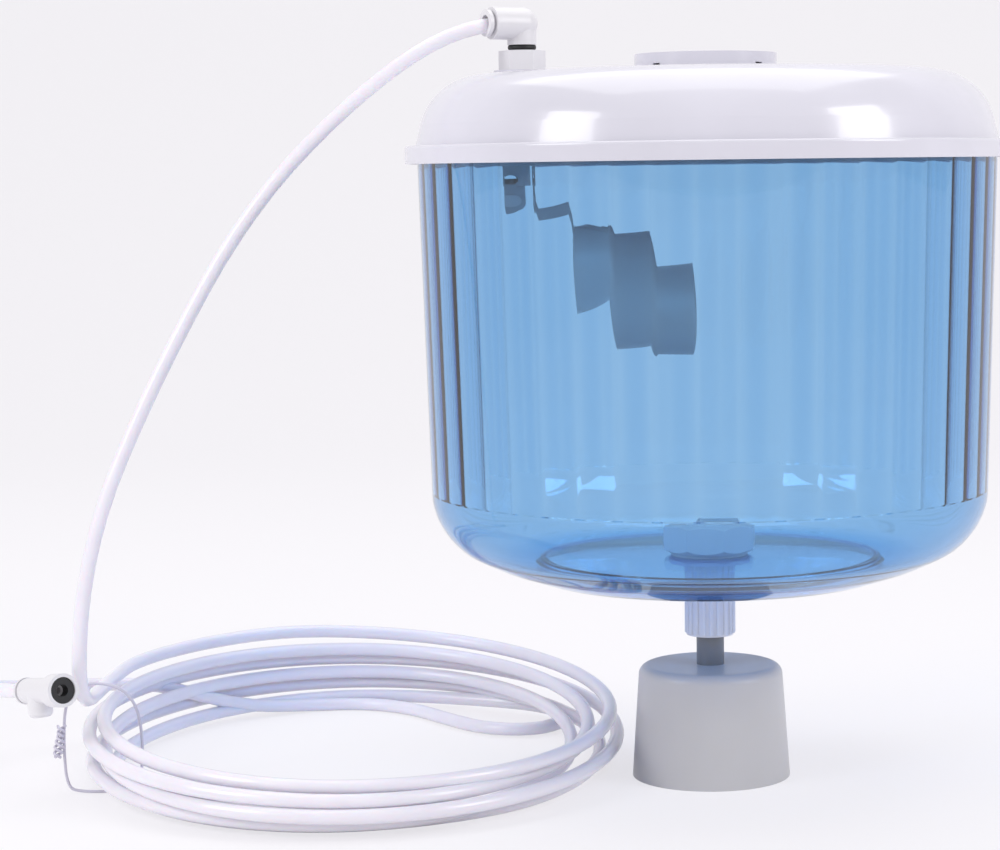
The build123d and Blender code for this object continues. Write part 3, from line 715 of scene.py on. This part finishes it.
WHITE_NODES = (
    "inlet_nut", "inlet_elbow", "outlet_neck", "outlet_nut", "elbow_collet", "tap_adapter", "adapter_collet",
)
DULL_NODES = ("valve_body", "valve_plunger", "float_lever", "inlet_float")
RUBBER_NODES = (
    "elbow_ring", "elbow_tube_seal", "adapter_seal", "adapter_tube_seal", "plunger_seal", "outlet_seal",
)
WASHER_NODES = ("outer_washer", "inner_washer", "inlet_washer")
FELT_COLOUR = (0.85, 0.85, 0.86)
DULL_COLOUR = (0.42, 0.43, 0.45)
SILICONE_COLOUR = (0.62, 0.63, 0.65)
STEEL_COLOUR = (0.6, 0.6, 0.6)
STEM_COLOUR = (0.20, 0.21, 0.23)
DARKER_SHARE = 0.94
GLOSS_UNEVEN = 0.08

def satin_finish(name, colour, roughness, coat=0.0, grain=400.0, depth=0.00004):
    """Moulded plastic with a fine grain and slightly uneven gloss."""
    finish = Finish(name)
    cloud = finish.noise(14.0, 3.0)
    fine = finish.noise(grain, 2.0)
    darker = tuple(value * DARKER_SHARE for value in colour[:3]) + (1.0,)
    surface = finish.body(
        Base_Color=finish.blend(cloud.between(0.3, 0.7), darker, rgba(colour)),
        Roughness=roughness + (cloud - 0.5) * GLOSS_UNEVEN,
        Coat_Weight=coat, Coat_Roughness=0.08, Normal=finish.bump(fine, depth, 0.5),
    )
    return finish.done(surface)


class LidOperator(bpy.types.Operator):
    """Gives the lid and its vent cap their glossy white finish"""

    bl_idname = "bottle.lid"
    bl_label = "Lid"

    def execute(self, context):
        plastics = context.scene.bottle_plastics
        white = satin_finish("lid_plastic", plastics.lid, 0.22, coat=0.5, grain=500.0, depth=0.00002)
        for node in ("lid", "vent_cap"):
            dress(node, white)
        dress("vent_filter", satin_finish("filter_felt", FELT_COLOUR, 0.95, grain=1500.0, depth=0.0004))
        return {"FINISHED"}


class FittingsOperator(bpy.types.Operator):
    """Gives the nuts, elbow, neck, valve and adapter their finishes"""

    bl_idname = "bottle.fittings"
    bl_label = "Fittings"

    def execute(self, context):
        plastics = context.scene.bottle_plastics
        white = satin_finish("fitting_plastic", plastics.fittings, 0.35, coat=0.1)
        for node in WHITE_NODES:
            dress(node, white)
        dull = satin_finish("valve_plastic", DULL_COLOUR, 0.4)
        for node in DULL_NODES:
            dress(node, dull)
        rubber = satin_finish("black_rubber", plastics.rubber, 0.5, grain=700.0, depth=0.0001)
        for node in RUBBER_NODES:
            dress(node, rubber)
        for node in WASHER_NODES:
            dress(node, satin_finish(f"{node}_silicone", SILICONE_COLOUR, 0.45))
        dress("lever_pin", satin_finish("pin_steel", STEEL_COLOUR, 0.3))
        return {"FINISHED"}


class FloatOperator(bpy.types.Operator):
    """Gives the lower float and its stem their finishes"""

    bl_idname = "bottle.float"
    bl_label = "Lower float"

    def execute(self, context):
        plastics = context.scene.bottle_plastics
        grey = satin_finish("float_plastic", plastics.cup, 0.42, coat=0.1, grain=260.0, depth=0.00008)
        for node in ("outlet_float", "outlet_float_disc"):
            dress(node, grey)
        stem = satin_finish("stem_plastic", STEM_COLOUR, 0.4)
        for node in ("outlet_stem", "stem_retainer"):
            dress(node, stem)
        return {"FINISHED"}


OPERATORS = (StageOperator, TankOperator, TubeOperator, LidOperator, FittingsOperator, FloatOperator)


class BottlePanel(bpy.types.Panel):
    """Lists the bottle's pieces and their sizes"""

    bl_idname = "VIEW3D_PT_bottle"
    bl_label = "Water dispenser bottle"
    bl_space_type = "VIEW_3D"
    bl_region_type = "UI"
    bl_category = "Bottle"

    def draw(self, context):
        for operator in OPERATORS:
            self.layout.operator(operator.bl_idname)
        for name, group in GROUPS.items():
            box = self.layout.box()
            for key in group.__annotations__:
                box.prop(getattr(context.scene, name), key)


CLASSES = (*GROUPS.values(), *OPERATORS, BottlePanel)


def register():
    for item in CLASSES:
        bpy.utils.register_class(item)
    for name, group in GROUPS.items():
        setattr(bpy.types.Scene, name, PointerProperty(type=group))


def unregister():
    for name in GROUPS:
        delattr(bpy.types.Scene, name)
    for item in reversed(CLASSES):
        bpy.utils.unregister_class(item)


def main():
    register()
    for operator in OPERATORS:
        module, call = operator.bl_idname.split(".")
        getattr(getattr(bpy.ops, module), call)()


if __name__ == "__main__":
    main()
